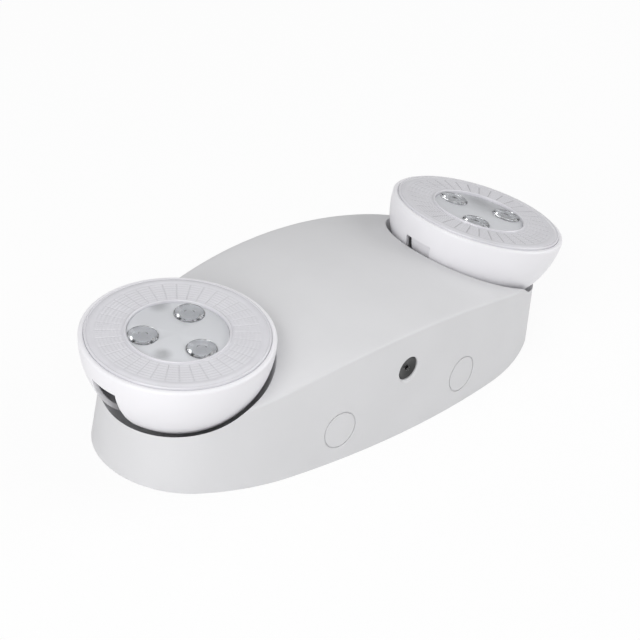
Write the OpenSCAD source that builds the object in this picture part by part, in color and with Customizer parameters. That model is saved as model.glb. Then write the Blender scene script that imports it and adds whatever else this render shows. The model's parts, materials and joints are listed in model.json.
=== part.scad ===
// Two-head emergency light, lying on its mounting face.
// Origin: middle of the mounting face. +Z points out of the wall, +X along the body towards the right lamp.
// The test button and the knockouts are in the long side that faces -Y.

/* [Body] */
// Length of the body
body_length = 270; // [262:1:280]
// Width of the body
body_w = 112.5; // [109:0.5:118]
// Height of the domed front at its middle
body_h = 62.2; // [60:0.2:66]
// Plan radius of each end
end_r = 42; // [40:1:45]
// Turn of the outline, in degrees, where the long side becomes the shoulder
side_turn = 8; // [6:0.5:10]
// Turn of the outline, in degrees, where the shoulder becomes the end
shoulder_turn = 30; // [27:1:34]
// Draft of the side wall in degrees
draft = 3; // [1:0.5:4]
// Radius of the domed front along the length
dome_long_r = 292; // [280:1:320]
// Radius of the domed front across the width
dome_cross_r = 254; // [230:1:300]
// Rounding where the front meets the side wall
edge_r = 2; // [1.2:0.1:2.4]
// Wall of the front housing
wall = 2.4; // [2:0.1:3]
// Rounding inside the housing, under the front edge
edge_inner_r = 1; // [0.5:0.1:1.6]
// Thickness of the back plate
plate_t = 2.4; // [2:0.1:3]
// Gap between the back plate and the housing wall
plate_gap = 0.3; // [0.2:0.05:0.6]

/* [Swivels] */
// Distance of each lamp's pivot from the body's end
pivot_inset = 32.4; // [30:0.2:35]
// Room left between the back plate and the swivel's lowest turning point
swivel_room = 2.87; // [2:0.01:6]
// Outward lean of each pocket's axis in degrees
pocket_lean = 24; // [20:1:26]
// Gap between the lamp bowl and its pocket
pocket_gap = 2.3; // [2:0.05:2.6]
// Wall of each pocket
cup_wall = 2.2; // [1.8:0.1:2.6]
// Depth of the collar under each pocket
collar_h = 6.3; // [5:0.1:7]
// Outer radius of the collar
collar_r = 16.6; // [16.2:0.1:17.4]
// Radius of the stem's journal in the collar
journal_r = 9; // [8:0.1:9.4]
// Radial running clearance of journal, button and plunger
run_gap = 0.05; // [0.02:0.01:0.08]
// Radius of the wire bore through the stem
wire_bore_r = 3.2; // [2.4:0.1:3.4]
// Radius of the stem's dished flange
flange_r = 13; // [12:0.1:14]
// Clearance of the dished faces from the bowl and the pocket
dish_gap = 0.3; // [0.2:0.05:0.4]
// Half of the swivel's travel in degrees
swivel_turn = 165; // [160:1:166]

/* [Lamp heads] */
// Outer radius of the lamp bowl
bowl_r = 45.4; // [44.6:0.1:46]
// Wall of the lamp bowl
bowl_wall = 2.2; // [1.8:0.1:2.4]
// Height of the lens over the pivot
rim_h = 1.5; // [1.2:0.1:2]
// Rounding of the bowl's rim
bezel_r = 1.3; // [0.8:0.1:1.5]
// Width of the rim left outside the lens
bezel_w = 2.4; // [2:0.1:2.6]
// How far the bowl's rim lies below the lens
bezel_drop = 1.1; // [0.6:0.1:1.2]
// Width of the tilt slot
slot_w = 16; // [14:0.5:18]
// Clearance of the key at each side of the slot
key_gap = 0.1; // [0.05:0.01:0.2]
// Length of the key along the slot
key_l = 12; // [10:0.5:13]
// Tilt towards the slot's open end in degrees, from the pocket's axis
tilt_open = 69; // [60:1:69]
// Tilt towards the slot's tongue in degrees, from the pocket's axis
tilt_tongue = 55; // [45:1:56]
// Gap left between the key and the slot's end at the end of the tilt
stop_gap = 0.35; // [0.2:0.05:0.6]
// Length of the tongue in the slot's end
tongue_l = 9; // [8:0.5:10]
// How far the tongue's tip is sunk under the bowl's surface
tongue_sink = 1.2; // [0.8:0.1:1.2]
// Gap between the tongue and the side of the slot that faces away from the button
tongue_far_gap = 3.4; // [2.6:0.1:3.6]
// Gap between the tongue and the other side of the slot
tongue_near_gap = 0.6; // [0.4:0.1:1]
// Lean of the left lens at rest, in degrees towards +X
left_lean = -4.5; // [-20:0.5:20]
// Lean of the right lens at rest, in degrees towards +X
right_lean = 12.5; // [0:0.5:20]
// Turn of the left light source in degrees
left_phase = 30; // [0:1:120]
// Turn of the right light source in degrees
right_phase = -25; // [-60:1:60]
// Outer thickness of the lens cover
lens_edge_t = 2.4; // [2:0.1:2.6]
// Thickness of the ribbed part of the lens cover
lens_t = 1.8; // [1.4:0.1:2]
// Radius of the lens cover's middle opening
window_r = 23.5; // [22:0.1:24]
// Radius of the bead round the middle opening
bead_r = 0.7; // [0.4:0.1:0.9]
// Rounding of the lens cover's outer edge
lens_edge_r = 0.8; // [0.4:0.1:1]
// Width of the optic plate under the lens cover
plate_lap = 1.4; // [1:0.1:1.8]
// Top radius of each optic
optic_r = 7.2; // [6.6:0.1:7.4]
// Gap between the optics and the wall of the middle opening
optic_side_gap = 0.1; // [0.1:0.1:1]

/* [Button and switch] */
// Height of the test button over the mounting face
button_z = 36.3; // [34:0.1:38]
// Radius of the button's hole
button_hole_r = 6.3; // [5.8:0.1:6.8]
// Depth of the button's face under the wall's surface
button_sink = 1; // [0.6:0.1:1.6]
// Travel of the button
button_travel = 1.5; // [1:0.1:1.6]
// Radius of the button's back flange
button_flange_r = 8.2; // [7.8:0.1:8.6]

/* [Knockouts] */
// Distance of each knockout from the middle of the body
knock_x = 42.4; // [40:0.2:46]
// Height of each knockout over the mounting face
knock_z = 17.2; // [16:0.1:20]
// Radius of each knockout
knock_r = 9.3; // [8.5:0.1:10]
// Width of the score line round a knockout
score_w = 0.7; // [0.4:0.1:1]
// Depth of the score line
score_d = 0.6; // [0.3:0.1:1]

/* [Back plate] */
// Distance between the two box screw holes
box_pitch = 88.9; // [83:0.1:90]
// Radius of each box screw hole
box_hole_r = 2.2; // [2:0.1:2.6]
// Radius of the wire entry
entry_r = 11; // [9:0.5:12]
// Distance between the middles of the two wall slots
slot_pitch = 160; // [150:1:170]
// Half the width of each wall slot
wall_slot_r = 2.3; // [2:0.1:2.6]
// Length of each wall slot, end to end
wall_slot_l = 12; // [8:0.5:14]

/* [Electronics] */
// Length of the main board
board_l = 92; // [88:1:94]
// Width of the main board
board_w = 33; // [30:0.5:34]
// Thickness of the boards
board_t = 1.6; // [1.2:0.1:2]
// Height of the main board over the back plate
board_lift = 6.6; // [5:0.1:8]
// Gap between the main board and the snap hooks beside it
board_side_gap = 2.2; // [1:0.1:3]
// Radius of a battery cell
cell_r = 7.1; // [6.8:0.1:7.2]
// Length of a battery cell
cell_l = 50; // [44:0.5:51]
// Gap between the cells
cell_gap = 0.3; // [0.2:0.05:0.4]
// Gap between the battery cradle and the snap hooks beside it
battery_side_gap = 3.3; // [1:0.1:5]

/* [Hidden] */

// General values
overrun = 1;
turn = 360;
quarter_turn = 90;
round_fn = 72;
hole_fn = 32;

// Outline and dome: facet counts
side_steps = 4;
shoulder_steps = 6;
end_steps = 9;
edge_steps = 4;
cross_steps = 8;
bezel_steps = 4;

// Side and shoulder radii that make the outline meet its length, width and end radius
side_s = sin(side_turn);
side_c = cos(side_turn);
shoulder_s = sin(shoulder_turn);
shoulder_c = cos(shoulder_turn);
long_reach = body_length / 2 - end_r * (1 - shoulder_s);
cross_reach = body_w / 2 - end_r * shoulder_c;
plan_det = side_s * (side_c - shoulder_c) - (shoulder_s - side_s) * (1 - side_c);
side_r = (long_reach * (side_c - shoulder_c) - cross_reach * (shoulder_s - side_s)) / plan_det;
shoulder_r = (side_s * cross_reach - (1 - side_c) * long_reach) / plan_det;
draft_share = tan(draft);

// Swivel: distances below the pivot, along the pocket's axis
pocket_r = bowl_r + pocket_gap;
cup_r = pocket_r + cup_wall;
collar_end = pocket_r + collar_h;
washer_gap = 0.05;
washer_t = 0.75;
washer_in_r = journal_r + dish_gap;
washer_inset = 0.5;
stem_end = collar_end + washer_gap + washer_t;
retainer_t = 1.6;
stop_reach = 2.5;
stop_post_gap = 0.4;
stop_post_w = 3.6;
stop_post_d = 2.7;
stop_post_in = collar_r - stop_post_d;
retainer_r = stop_post_in - stop_post_gap;
stop_post_turn = asin(stop_post_w / 2 / stop_post_in);
stop_clear_turn = 0.5;
stop_w = 2 * stop_post_in * sin(turn / 2 - swivel_turn - stop_clear_turn - stop_post_turn);
swivel_low = (stem_end + retainer_t) * cos(pocket_lean) + (retainer_r + stop_reach) * sin(pocket_lean);
washer_out_r = retainer_r - washer_inset;
pivot_x = body_length / 2 - pivot_inset;
pivot_z = plate_t + swivel_room + swivel_low;
screw_r = 1.25;
pilot_r = 1.3;
screw_head_r = 2.4;
screw_head_h = 1.5;
retainer_screw_at = (wire_bore_r + journal_r) / 2;
retainer_screw_l = 5;
clamp_t = 1.9;
clamp_l = 22;
clamp_grip = 5;
clamp_w = slot_w + 2 * clamp_grip;
clamp_screw_edge = 2.4;
clamp_screw_at = slot_w / 2 - clamp_screw_edge;
clamp_screw_l = 9;

// Lamp head: heights over the pivot, along the lens's axis
bowl_in_r = bowl_r - bowl_wall;
clamp_out_r = bowl_in_r - dish_gap;
clamp_in_r = clamp_out_r - clamp_t;
clamp_seat = sqrt(pow(clamp_in_r, 2) - pow(clamp_screw_at + screw_head_r, 2));
lens_gap = 0.1;
lens_r = bowl_r - bezel_w - lens_gap;
ledge_z = rim_h - lens_edge_t;
ledge_w = 2.3;
ledge_t = 1.3;
lens_rim_w = 1.8;
lens_under = rim_h - lens_t;
plate_rim_r = window_r + plate_lap;
optic_plate_t = 1.2;
ear_r = 4;
ear_t = 1.6;
ear_z = -8.2;
ear_count = 3;
ear_share = 0.8565;
ear_at = ear_share * bowl_in_r;
carrier_share = 0.7755;
carrier_r = carrier_share * bowl_in_r;
carrier_wall = 1.6;
carrier_low = -12;
carrier_top_gap = 0.7;
carrier_floor_t = 1.6;
table_share = 0.602;
carrier_table_r = table_share * bowl_in_r;
carrier_table = -7;
post_r = 3;
post_depth = 10;
carrier_screw_l = 8;
carrier_screw_head_r = 2.2;
led_board_inset = 1;
led_board_r = carrier_table_r - led_board_inset;
led_at = window_r - optic_side_gap - optic_r;
led_w = 3.5;
led_h = 0.8;
led_dome_r = 1.3;
led_count = 3;
led_screw_edge = 4;
led_screw_at = led_board_r - led_screw_edge;
led_screw_l = 3;
optic_foot_r = 3.4;
optic_foot_z = carrier_table + board_t + led_h;
optic_gap = 0.1;
optic_bite_r = led_dome_r + dish_gap;
key_turn = asin(key_l / 2 / clamp_out_r);
stop_turn = turn / 2 / PI * stop_gap / bowl_in_r;
slot_end = tilt_open + key_turn + stop_turn;
tongue_tip = tilt_tongue + key_turn + stop_turn;
tongue_turn = turn / 2 / PI * tongue_l / bowl_r;
tongue_root = tongue_tip + tongue_turn;
tongue_w = slot_w - tongue_far_gap - tongue_near_gap;
tongue_shift = tongue_sink / sin(tongue_turn);

// Button and switch: places across the body
wall_y = body_w / 2 - draft_share * button_z;
button_r = button_hole_r - run_gap;
button_face = wall_y - button_sink;
button_collar_w = 1.8;
button_collar_h = 5.5;
button_chamfer = 0.5;
button_collar_end = wall_y - wall - button_collar_h;
button_flange_t = 1.4;
button_back = button_collar_end - run_gap - button_flange_t;
switch_drop = 5.5;
plunger_r = 1.7;
plunger_l = 3.4;
switch_w = 6;
switch_gap = 0.4;
switch_front = button_back - button_travel - switch_gap;
switch_t = 4.5;
switch_bore = 4;
switch_board_face = switch_front - switch_t;
switch_board_w = 29;
switch_board_h = 16;
switch_screw_edge = 2.5;
switch_screw_at = switch_board_w / 2 - switch_screw_edge;
switch_post_r = 3;
switch_post_l = wall_y - wall / 2 - switch_board_face - board_t;
switch_screw_l = 6;
window_rod_r = 1.2;
window_rod_out = 0.3;
status_led_r = 1.5;
status_led_l = 3.5;

// Back plate and snap hooks
hook_at = 30;
hook_w = 8;
hook_t = 1.6;
hook_h = 9.6;
hook_nose = 1.2;
hook_nose_h = 1.6;
hook_inset = 2.2;
hook_gap = 0.4;
hook_in_y = plan_y(hook_at) - wall - hook_inset - hook_t;
catch_t = 1.6;
catch_over = 2;
catch_gap = 0.1;
standoff_r = 3;
standoff_inset = 3;
board_screw_l = 6;
board_z = plate_t + board_lift;
board_top = board_z + board_t;

// Main board's components: size, and place from the board's middle
transformer_size = [30, 24, 14];
transformer_coil = [20, 24, 22];
transformer_inset = 1;
transformer_x = transformer_inset + (transformer_size.x - board_l) / 2;
terminal_size = [9, 22, 11];
terminal_inset = 5;
terminal_x = (board_l - terminal_size.x) / 2 - terminal_inset;
cap_r = 5;
cap_l = 18;
cap_gap = 3;
cap_pitch = 12;
cap_x = terminal_x - terminal_size.x / 2 - cap_gap - cap_r;
relay_size = [15, 19, 15];
relay_inset = 1;
relay_x = (transformer_x + transformer_size.x / 2 + cap_x - cap_r) / 2;
terminal_ways = 4;
terminal_hole_r = 1.6;
terminal_hole_d = 6;
board_mid_y = board_side_gap + board_w / 2 - hook_in_y;
relay_y = board_mid_y + (board_w - relay_size.y) / 2 - relay_inset;

// Battery
battery_floor = 1;
battery_in = 0.6;
cell_pitch = 2 * cell_r + cell_gap;
cradle_l = cell_l + 2 * (battery_in + battery_floor);
cradle_w = cell_pitch + 2 * (cell_r + battery_in + battery_floor);
cradle_y = hook_in_y - battery_side_gap - cradle_w / 2;
cell_z = plate_t + battery_floor + cell_r;
cell_cap_r = 2.6;
cell_cap_l = 1.2;
cradle_end_h = 9;
strap_w = 12;
strap_t = 0.8;
strap_gap = 0.3;

// Two cells side by side and one on top, in cell pitches
cell_places = [[0, 0], [1, 0], [1 / 2, sin(60)]];

// Leads from each swivel to the main board: route of the right one, the left one is its mirror image
lead_r = 1.25;
lead_sides = 8;
lead_route = [[82.2, 0, 17.5], [80.6, 0, 13.8], [78.8, -0.5, 10.2], [75.5, -2, 7.4], [71, -5, 6.2],
    [65, -9, 6.2], [59, -13.5, 7.6], [54, -17.5, 10], [49.5, -21, 12], [46, -23.5, 12.4], [42, -25, 12.2]];

function plan_point(t) =
    t <= side_turn ? [side_r * sin(t), body_w / 2 - side_r * (1 - cos(t))]
    : t <= shoulder_turn ? [side_r * side_s + shoulder_r * (sin(t) - side_s),
        body_w / 2 - side_r * (1 - side_c) - shoulder_r * (side_c - cos(t))]
    : [body_length / 2 - end_r * (1 - sin(t)), end_r * cos(t)];

// Point of the outline where its normal is turned by t from +Y, moved inwards
function plan(t, inset) = let (p = plan_point(abs(t)))
    [(p.x - inset * sin(abs(t))) * (t < 0 ? -1 : 1), p.y - inset * cos(t)];

function dome_z(p) = body_h - dome_long_r + sqrt(pow(dome_long_r, 2) - pow(p.x, 2))
    - dome_cross_r + sqrt(pow(dome_cross_r, 2) - pow(p.y, 2));

// Height of the dome over the drafted wall at turn t
function brow_z(t, inset) = dome_z(plan(t, inset + draft_share * dome_z(plan(t, inset))));

half_turns = concat(
    [for (i = [0 : side_steps - 1]) side_turn * i / side_steps],
    [for (i = [0 : shoulder_steps - 1]) side_turn + (shoulder_turn - side_turn) * i / shoulder_steps],
    [for (i = [0 : end_steps]) shoulder_turn + (quarter_turn - shoulder_turn) * i / end_steps]);
half_count = len(half_turns);
turns = concat([for (i = [half_count - 1 : -1 : 0]) half_turns[i]],
    [for (i = [1 : half_count - 1]) -half_turns[i]]);
rows = len(turns) - 1;
ring_count = 2 * rows;

// Closed loop of the outline: along +Y from the right end to the left, and back along -Y
function ring(f) = concat([for (i = [0 : rows]) f(turns[i], 1)],
    [for (i = [rows - 1 : -1 : 1]) f(turns[i], -1)]);

function flat_ring(inset, z) = ring(function(t, s) let (p = plan(t, inset)) [p.x, s * p.y, z]);

function brow_ring(inset, drop, edge, a) = ring(function(t, s)
    let (top = brow_z(t, inset) - drop,
        p = plan(t, inset + draft_share * (top - edge) + edge * (1 - cos(a))))
    [p.x, s * p.y, dome_z(p) - drop - edge * (1 - sin(a))]);

// Solid under the dome: outline moved in by inset, dome lowered by drop, edge rounded, down to base
module domed_solid(inset, drop, edge, base) {
    steps = [for (i = [0 : edge_steps]) quarter_turn * i / edge_steps];
    rings = concat([flat_ring(inset + draft_share * base, base)],
        [for (a = steps) brow_ring(inset, drop, edge, a)]);
    top = rings[len(rings) - 1];
    top_at = (len(rings) - 1) * ring_count;
    mid_at = len(rings) * ring_count;
    mids = [for (i = [1 : rows - 1]) for (j = [1 : cross_steps - 1])
        let (y = top[i].y * (1 - 2 * j / cross_steps)) [top[i].x, y, dome_z([top[i].x, y]) - drop]];
    function at(i, j) = i == 0 || i == rows || j == 0 ? top_at + i
        : j == cross_steps ? top_at + ring_count - i
        : mid_at + (i - 1) * (cross_steps - 1) + j - 1;
    sides = [for (k = [0 : len(rings) - 2]) for (i = [0 : ring_count - 1])
        let (n = (i + 1) % ring_count, a = k * ring_count, b = a + ring_count)
        each [[a + i, b + n, a + n], [a + i, b + i, b + n]]];
    caps = [for (i = [0 : rows - 1]) for (j = [0 : cross_steps - 1])
        for (f = [[at(i, j), at(i + 1, j), at(i + 1, j + 1)], [at(i, j), at(i + 1, j + 1), at(i, j + 1)]])
        if (f[0] != f[1] && f[1] != f[2] && f[0] != f[2]) [f[2], f[1], f[0]]];
    base_face = [[for (i = [0 : ring_count - 1]) i]];
    polyhedron(points = concat([for (r = rings) each r], mids), faces = concat(sides, caps, base_face));
}

// Points of an arc in a half plane: a is measured from straight down
function arc(r, a, b, steps) = [for (i = [0 : steps])
    let (t = a + (b - a) * i / steps) [r * sin(t), -r * cos(t)]];

// Places
module on_side(side) {
    mirror([side < 0 ? 1 : 0, 0, 0]) children();
}

module on_swivel(side) {
    on_side(side) translate([pivot_x, 0, pivot_z]) rotate([0, pocket_lean, 0]) children();
}

module on_head(side) {
    translate([side * pivot_x, 0, pivot_z]) rotate([0, side < 0 ? left_lean : right_lean, 0]) children();
}

module on_light(side) {
    on_head(side) rotate([0, 0, side < 0 ? left_phase : right_phase]) children();
}

module around(count) {
    for (i = [0 : count - 1]) rotate([0, 0, turn * i / count]) children();
}

// The left bowl is the right one turned half round
module on_bowl(side) {
    on_head(side) rotate([0, 0, side < 0 ? turn / 2 : 0]) children();
}

// The ears stand clear of the slot on both sides
module at_ears() {
    rotate([0, 0, quarter_turn]) around(ear_count) translate([ear_at, 0, 0]) children();
}

// Outer surface of the long side at x and z, with +Z pointing out of it
module on_long_side(x, z) {
    t = asin(abs(x) / side_r);
    p = plan(t, draft_share * z);
    side = x < 0 ? -1 : 1;
    translate([side * p.x, -p.y, z]) rotate([0, 0, side * t]) rotate([quarter_turn - draft, 0, 0]) children();
}

// Along +Y from y, at x and z
module across(x, y, z) {
    translate([x, y, z]) rotate([-quarter_turn, 0, 0]) children();
}

module tube(h, r, bore) {
    difference() {
        cylinder(h = h, r = r, $fn = round_fn);
        translate([0, 0, -overrun]) cylinder(h = h + 2 * overrun, r = bore, $fn = round_fn);
    }
}

// Screw with its shank up from z = 0 and its head below
module screw(l, r, head_r, head_h) {
    cylinder(h = l, r = r, $fn = hole_fn);
    translate([0, 0, -head_h]) cylinder(h = head_h, r = head_r, $fn = hole_fn);
}

module block(size) {
    translate([-size.x / 2, -size.y / 2, 0]) cube(size);
}

// Body
module front_housing() color("whitesmoke") {
    difference() {
        union() {
            housing_shell();
            for (side = [-1, 1]) on_swivel(side) swivel_collar();
            button_collar();
            for (s = [-1, 1]) across(s * switch_screw_at, -wall_y + wall / 2, button_z)
                cylinder(h = switch_post_l, r = switch_post_r, $fn = hole_fn);
            for (x = [-hook_at, hook_at]) for (s = [-1, 1]) hook_catch(x, s);
        }
        for (side = [-1, 1]) on_swivel(side) {
            sphere(r = pocket_r, $fn = 2 * round_fn);
            translate([0, 0, -collar_end - overrun])
                cylinder(h = collar_h + bowl_wall + overrun, r = journal_r + run_gap, $fn = round_fn);
        }
        across(0, -body_w / 2 - overrun, button_z)
            cylinder(h = body_w / 2 + 2 * overrun - button_collar_end, r = button_hole_r, $fn = round_fn);
        across(0, -wall_y - overrun, button_z) cylinder(h = overrun + button_chamfer,
            r1 = button_hole_r + button_chamfer + overrun, r2 = button_hole_r, $fn = round_fn);
        for (s = [-1, 1]) across(s * switch_screw_at, -switch_board_face - board_t - switch_screw_l, button_z)
            cylinder(h = switch_screw_l + overrun, r = pilot_r, $fn = hole_fn);
        for (x = [-knock_x, knock_x]) on_long_side(x, knock_z) translate([0, 0, -score_d])
            tube(score_d + overrun, knock_r + score_w / 2, knock_r - score_w / 2);
    }
}

module housing_shell() {
    difference() {
        domed_solid(0, 0, edge_r, 0);
        difference() {
            domed_solid(wall, wall, edge_inner_r, -overrun);
            for (side = [-1, 1]) on_swivel(side) sphere(r = cup_r, $fn = 2 * round_fn);
        }
    }
}

// Collar under a pocket, with the post that stops the swivel
module swivel_collar() {
    translate([0, 0, -collar_end]) cylinder(h = collar_h + dish_gap, r = collar_r, $fn = round_fn);
    translate([-collar_r, -stop_post_w / 2, -stem_end - retainer_t])
        cube([collar_r - stop_post_in, stop_post_w, washer_t + retainer_t + overrun]);
}

module button_collar() {
    across(0, -wall_y + wall / 2, button_z)
        cylinder(h = button_collar_h + wall / 2, r = button_hole_r + button_collar_w, $fn = round_fn);
}

// Ledge inside the long side that a snap hook holds
module hook_catch(x, s) {
    z = plate_t + hook_h - hook_nose_h - catch_gap;
    in_y = plan_y(x) - hook_inset - wall + hook_gap;
    out_y = plan_y(x) - draft_share * z - wall / 2;
    mirror([0, s < 0 ? 1 : 0, 0]) translate([x - hook_w / 2 - catch_over, in_y, z - catch_t])
        cube([hook_w + 2 * catch_over, out_y - in_y, catch_t]);
}

function plan_y(x) = body_w / 2 - side_r + sqrt(pow(side_r, 2) - pow(x, 2));

module back_plate() color("gainsboro") {
    difference() {
        union() {
            linear_extrude(plate_t) polygon([for (p = flat_ring(wall + plate_gap, 0)) [p.x, p.y]]);
            at_board_corners() translate([0, 0, plate_t / 2])
                cylinder(h = plate_t / 2 + board_lift, r = standoff_r, $fn = hole_fn);
            for (x = [-hook_at, hook_at]) for (s = [-1, 1]) snap_hook(x, s);
        }
        translate([0, 0, -overrun]) {
            cylinder(h = plate_t + 2 * overrun, r = entry_r, $fn = round_fn);
            for (s = [-1, 1]) translate([s * box_pitch / 2, 0, 0])
                cylinder(h = plate_t + 2 * overrun, r = box_hole_r, $fn = hole_fn);
            for (s = [-1, 1]) translate([s * slot_pitch / 2, 0, 0]) wall_slot();
        }
        at_board_corners() translate([0, 0, board_z - board_screw_l])
            cylinder(h = board_screw_l + overrun, r = pilot_r, $fn = hole_fn);
    }
}

module wall_slot() {
    reach = wall_slot_l / 2 - wall_slot_r;
    for (s = [-1, 1]) translate([s * reach, 0, 0])
        cylinder(h = plate_t + 2 * overrun, r = wall_slot_r, $fn = hole_fn);
    translate([-reach, -wall_slot_r, 0]) cube([2 * reach, 2 * wall_slot_r, plate_t + 2 * overrun]);
}

module snap_hook(x, s) {
    y = plan_y(x) - wall - hook_inset - hook_t;
    mirror([0, s < 0 ? 1 : 0, 0]) translate([x - hook_w / 2, y, plate_t / 2]) {
        cube([hook_w, hook_t, plate_t / 2 + hook_h]);
        translate([0, 0, plate_t / 2 + hook_h - hook_nose_h]) cube([hook_w, hook_t + hook_nose, hook_nose_h]);
    }
}

module at_board_corners() {
    for (x = [-1, 1]) for (y = [-1, 1])
        translate([x * (board_l / 2 - standoff_inset), board_mid_y + y * (board_w / 2 - standoff_inset), 0])
            children();
}

module main_board() color("darkgreen") {
    difference() {
        translate([0, board_mid_y, board_z]) block([board_l, board_w, board_t]);
        at_board_corners() translate([0, 0, board_z - overrun])
            cylinder(h = board_t + 2 * overrun, r = pilot_r, $fn = hole_fn);
    }
}

module board_screws() color("silver") {
    at_board_corners() translate([0, 0, board_top]) mirror([0, 0, 1])
        screw(board_screw_l, screw_r, screw_head_r, screw_head_h);
}

module transformer() color("dimgray") {
    translate([transformer_x, board_mid_y, board_top]) {
        block(transformer_coil);
        translate([0, 0, (transformer_coil.z - transformer_size.z) / 2]) block(transformer_size);
    }
}

module relay() color("royalblue") {
    translate([relay_x, relay_y, board_top]) block(relay_size);
}

module capacitors() color("midnightblue") {
    for (s = [-1, 1]) translate([cap_x, board_mid_y + s * cap_pitch / 2, board_top])
        cylinder(h = cap_l, r = cap_r, $fn = hole_fn);
}

module terminal_block() color("seagreen") {
    pitch = terminal_size.y / terminal_ways;
    translate([terminal_x, board_mid_y, board_top]) difference() {
        block(terminal_size);
        for (i = [0 : terminal_ways - 1])
            translate([0, pitch * (i + 1 / 2) - terminal_size.y / 2, terminal_size.z - terminal_hole_d])
                cylinder(h = terminal_hole_d + overrun, r = terminal_hole_r, $fn = hole_fn);
    }
}

module at_cells() {
    for (p = cell_places)
        translate([0, cradle_y + (p.x - 1 / 2) * cell_pitch, cell_z + p.y * cell_pitch]) children();
}

module battery_cells() color("mediumseagreen") {
    at_cells() rotate([0, quarter_turn, 0]) translate([0, 0, -cell_l / 2]) {
        cylinder(h = cell_l - cell_cap_l, r = cell_r, $fn = hole_fn);
        cylinder(h = cell_l, r = cell_cap_r, $fn = hole_fn);
    }
}

module battery_cradle() color("gainsboro") {
    translate([0, cradle_y, plate_t]) difference() {
        block([cradle_l, cradle_w, battery_floor + cradle_end_h]);
        translate([0, 0, battery_floor])
            block([cradle_l - 2 * battery_floor, cradle_w - 2 * battery_floor, cradle_end_h + overrun]);
    }
}

module cell_outline(r) {
    for (p = cell_places) translate([(p.x - 1 / 2) * cell_pitch, cell_z + p.y * cell_pitch])
        circle(r = r, $fn = round_fn);
}

// Band over the cells, its feet on the cradle's rim
module battery_strap() color("dimgray") {
    foot = cradle_w / 2;
    low = plate_t + battery_floor + cradle_end_h;
    translate([-strap_w / 2, cradle_y, 0]) rotate([quarter_turn, 0, quarter_turn])
        linear_extrude(strap_w) difference() {
            hull() {
                cell_outline(cell_r + strap_gap + strap_t);
                translate([-foot, low]) square([2 * foot, strap_t]);
            }
            hull() cell_outline(cell_r + strap_gap);
            translate([-foot, low - 2 * foot]) square([2 * foot, 2 * foot]);
        }
}

module switch_board() color("darkgreen") {
    translate([-switch_board_w / 2, -switch_board_face, button_z - switch_board_h / 2]) difference() {
        cube([switch_board_w, board_t, switch_board_h]);
        for (s = [-1, 1]) across(switch_board_w / 2 + s * switch_screw_at, -overrun, switch_board_h / 2)
            cylinder(h = board_t + 2 * overrun, r = pilot_r, $fn = hole_fn);
    }
}

module switch_screws() color("silver") {
    for (s = [-1, 1]) across(s * switch_screw_at, -switch_board_face + board_t, button_z) mirror([0, 0, 1])
        screw(switch_screw_l, screw_r, screw_head_r, screw_head_h);
}

module test_switch() color("black") {
    difference() {
        translate([-switch_w / 2, -switch_front, button_z - switch_drop - switch_w / 2])
            cube([switch_w, switch_t, switch_w]);
        across(0, -switch_front - overrun, button_z - switch_drop)
            cylinder(h = overrun + switch_bore, r = plunger_r + run_gap, $fn = hole_fn);
    }
}

module status_led() color("tomato") {
    across(0, -switch_board_face - status_led_l, button_z)
        cylinder(h = status_led_l, r = status_led_r, $fn = hole_fn);
}

// Cable along the points, one ring at each
module cable(route) {
    last = len(route) - 1;
    function along(i) = route[min(i + 1, last)] - route[max(i - 1, 0)];
    function unit(v) = v / norm(v);
    points = [for (i = [0 : last]) let (d = unit(along(i)), u = unit(cross(d, [0, 1, 0])), v = cross(d, u))
        for (k = [0 : lead_sides - 1]) let (a = turn * k / lead_sides)
            route[i] + lead_r * (cos(a) * u + sin(a) * v)];
    walls = [for (i = [0 : last - 1]) for (k = [0 : lead_sides - 1])
        let (n = (k + 1) % lead_sides, a = i * lead_sides, b = a + lead_sides)
        each [[a + k, a + n, b + n], [a + k, b + n, b + k]]];
    ends = [[for (k = [lead_sides - 1 : -1 : 0]) k], [for (k = [0 : lead_sides - 1]) last * lead_sides + k]];
    polyhedron(points = points, faces = concat(walls, ends));
}

module left_lead() color("white") on_side(-1) cable(lead_route);

module right_lead() color("white") cable(lead_route);

// Test button
module test_button() color("black") {
    difference() {
        union() {
            across(0, -button_face, button_z)
                cylinder(h = button_face - button_back, r = button_r, $fn = round_fn);
            across(0, -button_back - button_flange_t, button_z)
                cylinder(h = button_flange_t, r = button_flange_r, $fn = round_fn);
        }
        across(0, -button_face - overrun, button_z)
            cylinder(h = button_face - button_back + 2 * overrun, r = window_rod_r, $fn = hole_fn);
    }
}

module button_window() color("lightgray") {
    across(0, -button_face - window_rod_out, button_z)
        cylinder(h = button_face - button_back + window_rod_out, r = window_rod_r, $fn = hole_fn);
}

module switch_plunger() color("dimgray") {
    across(0, -button_back, button_z - switch_drop) cylinder(h = plunger_l, r = plunger_r, $fn = hole_fn);
}

// Swivel, with the pivot at the origin and the pocket's axis along Z
module swivel_stem() color("whitesmoke") {
    under_r = pocket_r - dish_gap;
    over_r = bowl_r + dish_gap;
    difference() {
        union() {
            rotate_extrude($fn = round_fn) polygon(concat(
                arc(over_r, asin(wire_bore_r / over_r), asin(flange_r / over_r), 6),
                arc(under_r, asin(flange_r / under_r), asin(journal_r / under_r), 3),
                [[journal_r, -stem_end], [wire_bore_r, -stem_end]]));
            slot_key(over_r + dish_gap);
        }
        translate([0, 0, -stem_end]) cylinder(h = stem_end, r = wire_bore_r, $fn = round_fn);
        for (s = [-1, 1]) translate([0, s * clamp_screw_at, -clamp_seat - clamp_screw_l])
            cylinder(h = clamp_screw_l, r = pilot_r, $fn = hole_fn);
        for (s = [-1, 1]) translate([s * retainer_screw_at, 0, -stem_end - overrun])
            cylinder(h = retainer_screw_l + overrun, r = pilot_r, $fn = hole_fn);
    }
}

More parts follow.
